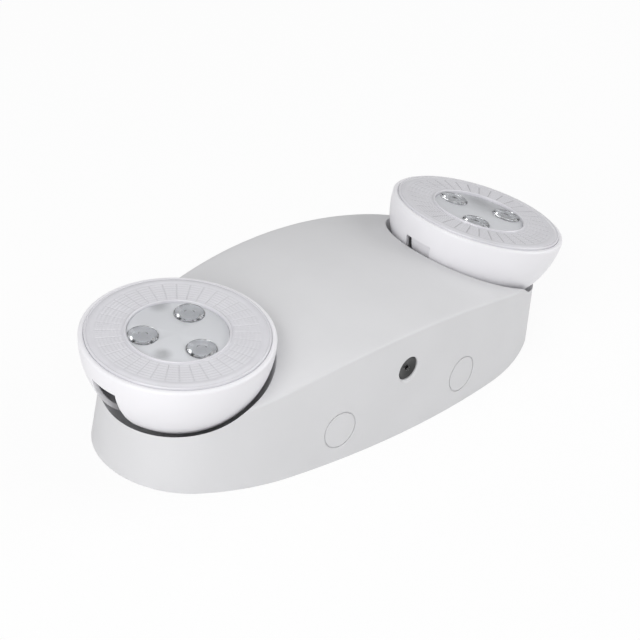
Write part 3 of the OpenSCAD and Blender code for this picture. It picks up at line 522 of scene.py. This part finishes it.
# Body
def plan_arcs():
    """Centres, turns and step counts of the three arcs of a quarter of the plan, from +Y round to +X."""
    side_sin, side_cos = math.sin(SIDE_TURN), math.cos(SIDE_TURN)
    end_sin, end_cos = math.sin(SHOULDER_TURN), math.cos(SHOULDER_TURN)
    reach = BODY_LENGTH / 2 - END_RADIUS * (1 - end_sin)
    width = BODY_WIDTH / 2 - END_RADIUS * end_cos
    scale = side_sin * (side_cos - end_cos) - (end_sin - side_sin) * (1 - side_cos)
    side = (reach * (side_cos - end_cos) - width * (end_sin - side_sin)) / scale
    shoulder = (side_sin * width - (1 - side_cos) * reach) / scale
    first = Vector((0, BODY_WIDTH / 2 - side, 0))
    second = first + (side - shoulder) * Vector((side_sin, side_cos, 0))
    third = second + (shoulder - END_RADIUS) * Vector((end_sin, end_cos, 0))
    return [(first, SIDE_TURN, 30), (second, SHOULDER_TURN - SIDE_TURN, 22),
            (third, RIGHT_ANGLE - SHOULDER_TURN, 26)]


SIDE_CENTRE = plan_arcs()[0][0]
SIDE_RADIUS = BODY_WIDTH / 2 - SIDE_CENTRE.y


def dome(x, y):
    """Height of the domed front over a point of the plan."""
    return (BODY_HEIGHT - DOME_LONG + math.sqrt(DOME_LONG ** 2 - x * x)
            - DOME_CROSS + math.sqrt(DOME_CROSS ** 2 - y * y))


def domed_solid(name, inset, drop, base, brow):
    """Outline spun from one vertex and drawn up to the dome along the draft.

    It is then bridged across the top and rounded at the brow.
    """
    rows, bevel_share, brow_angle = 28, 0.55, math.radians(40)
    passes, on_axis = 4, 0.01 * MM
    piece = pen(name, (0, BODY_WIDTH / 2, 0))
    for centre, angle, steps in plan_arcs():
        swing(steps, -angle, centre, (0, 0, 1))
    for flip in ((True, False, False), (False, True, False)):
        settle(piece)
        apply(piece, "MIRROR", use_axis=flip, merge_threshold=on_axis)
        bpy.ops.object.mode_set(mode="EDIT")
    mesh = bmesh.from_edit_mesh(piece.data)
    inwards = {}
    for vertex in mesh.verts:
        a, b = (edge.other_vert(vertex).co for edge in vertex.link_edges)
        normal = (b - a).cross(Vector((0, 0, 1))).normalized()
        inwards[vertex.index] = -normal if normal.dot(vertex.co) > 0 else normal
    starts = {vertex.index: vertex.co.copy() for vertex in mesh.verts}
    for vertex in mesh.verts:
        vertex.co += inwards[vertex.index] * (inset + DRAFT * base)
        vertex.co.z = base
    bmesh.update_edit_mesh(piece.data)
    bpy.ops.mesh.select_all(action="SELECT")
    draw((0, 0, BODY_HEIGHT))
    mesh = bmesh.from_edit_mesh(piece.data)
    mesh.verts.ensure_lookup_table()
    for vertex in mesh.verts:
        if not vertex.select:
            continue
        foot = next(e.other_vert(vertex) for e in vertex.link_edges if not e.other_vert(vertex).select)
        start, inward = starts[foot.index], inwards[foot.index]
        height = BODY_HEIGHT
        for _ in range(passes):
            spot = start + inward * (inset + DRAFT * height)
            height = dome(spot.x, spot.y) - drop
        vertex.co = (spot.x, spot.y, height)
    bmesh.update_edit_mesh(piece.data)
    pick(piece, "EDGE", lambda e: all(v.co.z > base + MM and abs(v.co.y) > on_axis for v in e.verts)
         and abs(e.verts[0].co.z - e.verts[1].co.z) < (e.verts[0].co - e.verts[1].co).xy.length)
    bpy.ops.mesh.bridge_edge_loops(number_cuts=rows, interpolation="LINEAR")
    mesh = bmesh.from_edit_mesh(piece.data)
    for vertex in mesh.verts:
        if vertex.co.z > base + MM and vertex.select:
            vertex.co.z = dome(vertex.co.x, vertex.co.y) - drop
    bmesh.update_edit_mesh(piece.data)
    pick(piece, "EDGE", lambda e: e.is_boundary)
    bpy.ops.mesh.edge_face_add()
    pick(piece, "EDGE", lambda e: e.is_boundary)
    bpy.ops.mesh.fill_holes(sides=0)
    close_up(piece)
    pick(piece, "EDGE", lambda e: e.is_manifold and e.calc_face_angle() > brow_angle
         and min(v.co.z for v in e.verts) > base + MM)
    bpy.ops.mesh.bevel(offset=brow * bevel_share, segments=4, affect="EDGES", offset_type="OFFSET")
    close_up(piece)
    return settle(piece)


def wall_y(x, z):
    """Distance of the long side's surface from the middle plane at x and height z."""
    return SIDE_CENTRE.y + math.sqrt(SIDE_RADIUS ** 2 - x * x) - DRAFT * z


def knockout_cutter(x):
    """Ring that scores a knockout into the drafted wall."""
    inner, outer = KNOCKOUT_RADIUS - SCORE_HALF_WIDTH, KNOCKOUT_RADIUS + SCORE_HALF_WIDTH
    ring = Turned("knockout_ring", inner, -SCORE_DEPTH)
    ring.line(outer, -SCORE_DEPTH).line(outer, MM).line(inner, MM).line(inner, -SCORE_DEPTH)
    turn = Matrix.Rotation(math.asin(x / SIDE_RADIUS), 4, "Z")
    lean = Matrix.Rotation(RIGHT_ANGLE - math.atan(DRAFT), 4, "X")
    place = Matrix.Translation((x, -wall_y(x, KNOCKOUT_HEIGHT), KNOCKOUT_HEIGHT))
    return settle(ring.spin(72), place @ turn @ lean)


def housing():
    """Domed shell with a ball-shaped pocket and a bored collar at each end, button hole and knockouts."""
    shell = domed_solid("front_housing_shell", 0, 0, 0, BROW)
    hollow = domed_solid("hollow", WALL, WALL, -MM, INNER_BROW)
    for side in SIDES:
        cup = ball("cup", CUP_RADIUS)
        combine(hollow, [settle(cup, swivel_place(side))])
        collar = rod("collar", COLLAR_RADIUS, -COLLAR_END, -POCKET_RADIUS)
        combine(hollow, [settle(collar, swivel_place(side))])
    wall = wall_y(0, BUTTON_HEIGHT)
    sleeve = rod("button_sleeve", BUTTON_HOLE + SLEEVE_WALL, -wall, -wall + WALL + SLEEVE_LENGTH)
    combine(hollow, [settle(sleeve, across_place(0, BUTTON_HEIGHT))])
    combine(shell, [hollow])
    for side in SIDES:
        pocket = ball("pocket", POCKET_RADIUS)
        bore = rod("bore", JOURNAL_BORE, -COLLAR_END - MM, -COLLAR_END + JOURNAL_DEPTH)
        combine(shell, [settle(pocket, swivel_place(side)), settle(bore, swivel_place(side))])
    hole_end = -wall + 10 * MM
    hole = Turned("hole", 0, -wall - MM)
    hole.line(BUTTON_HOLE + BUTTON_LIP + MM, -wall - MM).line(BUTTON_HOLE, -wall + BUTTON_LIP)
    hole.line(BUTTON_HOLE, hole_end).line(0, hole_end)
    combine(shell, [settle(hole.spin(70), across_place(0, BUTTON_HEIGHT) @ SKEW)])
    combine(shell, [knockout_cutter(x) for x in (-KNOCKOUT_X, KNOCKOUT_X)])
    smooth(shell)
    finish(shell, "body", ["front_housing"], "housing", MATERIALS["housing"])


# Lamp heads
def bowl(side):
    """Half-ball shell with a rounded bezel, a ledge for the lens and a slot across its wall."""
    inner = BOWL_RADIUS - BOWL_WALL
    ledge_reach = math.sqrt(inner ** 2 - LEDGE_LOW ** 2)
    ledge_turn = math.degrees(math.atan2(ledge_reach, LEDGE_LOW))
    bezel_ring = BOWL_RADIUS - BEZEL
    tuck = math.asin((BEZEL - BOWL_RIM) / bezel_ring)
    profile = Turned(f"{side}_bowl", 0, -BOWL_RADIUS)
    profile.arc((0, 0), math.degrees(tuck) - 90, 56)
    profile.arc((bezel_ring * math.cos(tuck), BOWL_RIM - BEZEL), -90 - math.degrees(tuck), 9)
    profile.line(LENS_BORE + RIM_EDGE, BOWL_RIM).line(LENS_BORE, BOWL_RIM - RIM_EDGE).line(LENS_BORE, LEDGE)
    profile.line(LEDGE_BORE, LEDGE).line(LEDGE_BORE, LEDGE_LOW).line(ledge_reach, LEDGE_LOW)
    profile.arc((0, 0), 180 - ledge_turn, 48)
    piece = settle(profile.spin(192))
    combine(piece, [slot_cutter()])
    soften(piece, RIM_EDGE)
    smooth(settle(piece, bowl_place(side)))
    finish(piece, f"{side}_head", [f"{side}_lamp_bowl"], "lamp_white", MATERIALS["lamp_white"])


def slot_sector(start, end, near, width):
    """Wedge from the ball's middle to past its wall, its angles measured from straight down towards +X."""
    piece = pen("slot", (0, near, 0))
    reach = 1.3 * BOWL_RADIUS
    draw((reach * math.sin(start), 0, -reach * math.cos(start)))
    swing(12, start - end, (0, near, 0), (0, 1, 0))
    bpy.ops.mesh.select_all(action="SELECT")
    bpy.ops.mesh.edge_face_add()
    draw((0, width, 0))
    close_up(piece)
    return settle(piece)


def slot_cutter():
    """The slot, less the tongue in its end towards -X, whose tip is pressed in."""
    near = -SLOT_WIDTH / 2
    past_root = TONGUE_ROOT + math.radians(1)
    slot = slot_sector(-TONGUE_ROOT, SLOT_END, near, SLOT_WIDTH)
    tongue = slot_sector(-past_root, -TONGUE_TIP, near + TONGUE_NEAR_GAP, TONGUE_WIDTH)
    shift = TONGUE_SINK / math.sin(TONGUE_ROOT - TONGUE_TIP)
    sunk = settle(ball("sunk_ball", BOWL_RADIUS), Matrix.Translation(
        (-shift * math.cos(TONGUE_ROOT), 0, shift * math.sin(TONGUE_ROOT))))
    combine(tongue, [sunk], "INTERSECT")
    combine(slot, [tongue])
    return slot


def lens(side):
    """Annular lens: bead round its window, rings of small cells with a bar every few, smooth outer band."""
    outer, face, reach = LENS_BORE - LENS_GAP, LENS_FACE - RING_DEPTH, RING_DEPTH * 2
    profile = Turned(f"{side}_lens", WINDOW, LENS_UNDER)
    profile.line(WINDOW, LENS_FACE).arc((WINDOW + BEAD, LENS_FACE), 180, 8)
    profile.line(FIRST_RING - reach, LENS_FACE).line(FIRST_RING, face)
    crown_radius = (RING_PITCH ** 2 / 4 + RING_CROWN ** 2) / (2 * RING_CROWN)
    crown_turn = 2 * math.degrees(math.asin(RING_PITCH / 2 / crown_radius))
    for k in range(RINGS):
        profile.arc((FIRST_RING + (k + 0.5) * RING_PITCH, face + RING_CROWN - crown_radius), crown_turn, 4)
    shoulder, skirt = outer - LENS_EDGE, outer - LENS_SKIRT
    profile.line(LAST_RING + 0.5 * MM, LENS_FACE).line(shoulder - 0.7 * MM, LENS_FACE)
    profile.line(shoulder - 0.4 * MM, LENS_FACE - EDGE_GROOVE).line(shoulder, LENS_FACE)
    profile.arc((shoulder, LENS_FACE - LENS_EDGE), 90, 5)
    profile.line(outer, LEDGE).line(skirt, LEDGE).line(skirt, LENS_UNDER).line(WINDOW, LENS_UNDER)
    steps = CELLS * STEPS_PER_CELL
    piece = profile.spin(steps)
    margin = 0.1 * MM

    def column(vertex):
        return round(math.atan2(vertex.co.y, vertex.co.x) / FULL_TURN * steps) % steps

    def patterned(vertex):
        return (FIRST_RING + margin < vertex.co.xy.length < LAST_RING - margin
                and vertex.co.z > face - margin)

    for every, depth in ((STEPS_PER_CELL, CELL_GROOVE), (STEPS_PER_CELL * CELLS_PER_BAR, BAR_GROOVE)):
        pick(piece, "VERT", lambda v: patterned(v) and column(v) % every == 0)
        bpy.ops.transform.translate(value=(0, 0, -depth))
    smooth(settle(piece, head_place(side)), LENS_SHARP)
    finish(piece, f"{side}_head", [f"{side}_lens_cover"], "lens_ribbed", lens_plastic(side))


def optics(side):
    """Collimators: a milky cone seated in the plate, and a clear dimpled front on it."""
    foot, rim, seat = -4.5 * MM, LENS_UNDER + 0.1 * MM, LENS_UNDER - 0.9 * MM
    under, well, shoulder = rim + 0.1 * MM, 1.6 * MM, OPTIC_RADIUS - 0.3 * MM
    waist, throat, dimple, dimple_edge = 4.6 * MM, 3.4 * MM, 2.2 * MM, 2.6 * MM
    cone = [(0, seat), (waist, seat), (shoulder, rim), (OPTIC_RADIUS, rim), (OPTIC_RADIUS, rim - 0.3 * MM),
            (throat, foot), (well, foot), (well, foot + 1.4 * MM), (0, foot + 1.8 * MM)]
    front = [(0, LENS_FACE - 0.6 * MM), (dimple, LENS_FACE - 0.35 * MM), (dimple_edge, LENS_FACE - 0.1 * MM),
             (OPTIC_RADIUS - 0.5 * MM, LENS_FACE), (OPTIC_RADIUS, LENS_FACE - 0.4 * MM),
             (OPTIC_RADIUS, under), (shoulder, under), (waist, seat + 0.1 * MM), (0, seat + 0.1 * MM)]
    for k in range(OPTICS):
        for part, points, material in (("cone", cone, "milky_optic"), ("front", front, "clear_optic")):
            profile = Turned(f"{side}_optic_{part}_{k + 1}", *points[0])
            for point in points[1:]:
                profile.line(*point)
            piece = settle(profile.spin(24), light_place(side) @ optic_place(k))
            smooth(piece, OPTIC_SHARP)
            finish(piece, f"{side}_head", [f"{side}_optics"], "clear_optic", MATERIALS[material])


def plate(side):
    """Frosted plate under the lens, raised inside the window, with a hole for each optic."""
    low, tread = LENS_UNDER - PLATE_THICKNESS, WINDOW - PLATE_GAP
    profile = Turned(f"{side}_frosted_plate", 0, low)
    profile.line(PLATE_RADIUS, low).line(PLATE_RADIUS, LENS_UNDER).line(tread, LENS_UNDER)
    profile.line(tread, PLATE_FACE).line(0, PLATE_FACE)
    piece = settle(profile.spin(96), SKEW)
    holes = [settle(rod("hole", OPTIC_RADIUS + PLATE_GAP, low - MM, PLATE_FACE + MM, 48), optic_place(k))
             for k in range(OPTICS)]
    combine(piece, holes)
    soften(piece, 0.12 * MM)
    smooth(settle(piece, light_place(side)))
    finish(piece, f"{side}_head", [f"{side}_optic_plate"], "frosted_plate", frosted(side))


# Test button
def button():
    """Round cap with a dished face, a hole for its light guide and a flange behind the wall."""
    face, back = -wall_y(0, BUTTON_HEIGHT) + MM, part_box("test_button")[1].y
    guide, guide_edge, dish, dish_edge = 1.2 * MM, 1.6 * MM, 3.6 * MM, 4.6 * MM
    radius, flange = BUTTON_HOLE - 0.05 * MM, 8.2 * MM
    flange_front = back - 1.4 * MM
    profile = Turned("button_cap", guide, back)
    profile.line(guide, face + 0.55 * MM).line(guide_edge, face + 0.75 * MM).line(dish, face + 0.45 * MM)
    profile.line(dish_edge, face + 0.1 * MM).line(radius - 0.6 * MM, face).line(radius, face + 0.5 * MM)
    profile.line(radius, flange_front).line(flange, flange_front).line(flange, back).line(guide, back)
    piece = settle(profile.spin(72), across_place(0, BUTTON_HEIGHT))
    smooth(piece, BUTTON_SHARP)
    finish(piece, "test_button", ["test_button"], "button_black", MATERIALS["button_black"])


# Studio: a white room that lights the object evenly, with a little more light from the left
def studio_floor():
    """Plain floor that shows as white and keeps the object's shadow."""
    clear_selection()
    bpy.ops.mesh.primitive_plane_add(size=FLOOR_SIZE, location=(0, 0, -FLOOR_DROP))
    floor = named("studio_floor")
    pale = Finish("pale_floor", (FLOOR_WHITE, FLOOR_WHITE, FLOOR_WHITE), 0.9)
    seen, mirrored, through = (pale.node("ShaderNodeLightPath", out=f"Is {ray} Ray")
                               for ray in ("Camera", "Glossy", "Transmission"))
    share = seen.math("MAXIMUM", mirrored.math("MAXIMUM", through)) * FLOOR_GLOW
    glow = pale.node("ShaderNodeEmission", {}, {"Strength": 1.0})
    surface = Number(pale, pale.surface.outputs[0])
    both = pale.node("ShaderNodeMixShader", {}, {0: share, 1: surface, 2: glow})
    pale.tree.links.new(both.socket, pale.tree.nodes["Material Output"].inputs["Surface"])
    floor.data.materials.append(pale.material)


def white_room():
    """World that is white to the camera and lights the object more gently."""
    world = bpy.data.worlds.new("white_room")
    bpy.context.scene.world = world
    world.use_nodes = True
    nodes, links = world.node_tree.nodes, world.node_tree.links
    seen = nodes["Background"]
    room = nodes.new("ShaderNodeBackground")
    for background, strength in ((seen, 1.0), (room, ROOM_STRENGTH)):
        background.inputs["Color"].default_value = (1, 1, 1, 1)
        background.inputs["Strength"].default_value = strength
    ray = nodes.new("ShaderNodeLightPath")
    choice = nodes.new("ShaderNodeMixShader")
    links.new(ray.outputs["Is Camera Ray"], choice.inputs[0])
    links.new(room.outputs[0], choice.inputs[1])
    links.new(seen.outputs[0], choice.inputs[2])
    links.new(choice.outputs[0], nodes["World Output"].inputs["Surface"])


def softboxes():
    for name, (place, power) in SOFTBOXES.items():
        light = bpy.data.lights.new(name, "AREA")
        light.size, light.energy = SOFTBOX_SIZE, power
        lamp = bpy.data.objects.new(name, light)
        lamp.location = place
        lamp.rotation_mode = "QUATERNION"
        lamp.rotation_quaternion = (-Vector(place)).to_track_quat("-Z", "Y")
        bpy.context.collection.objects.link(lamp)


def camera():
    flat = math.cos(CAMERA_ELEVATION)
    back = Vector((math.sin(CAMERA_AZIMUTH) * flat, -math.cos(CAMERA_AZIMUTH) * flat,
                   math.sin(CAMERA_ELEVATION)))
    right = (-back).cross(Vector((0, 0, 1))).normalized()
    up = back.cross(right)
    turned_right = math.cos(CAMERA_ROLL) * right + math.sin(CAMERA_ROLL) * up
    turned_up = math.cos(CAMERA_ROLL) * up - math.sin(CAMERA_ROLL) * right
    data = bpy.data.cameras.new("photo_camera")
    data.sensor_width, data.lens = SENSOR, FOCAL_PX / FRAME_PX * SENSOR
    data.shift_x, data.shift_y = SHIFT_X_PX / FRAME_PX, SHIFT_Y_PX / FRAME_PX
    data.clip_start, data.clip_end = 0.01, 50
    cam = bpy.data.objects.new("photo_camera", data)
    cam.matrix_world = Matrix.Translation(CAMERA_TARGET + back * CAMERA_DISTANCE) @ Matrix(
        (turned_right, turned_up, back)).transposed().to_4x4()
    bpy.context.collection.objects.link(cam)
    bpy.context.scene.camera = cam


camera()
studio_floor()
white_room()
softboxes()
housing()
for side in SIDES:
    bowl(side)
    lens(side)
    optics(side)
    plate(side)
button()
bpy.context.scene.view_settings.view_transform = "Standard"
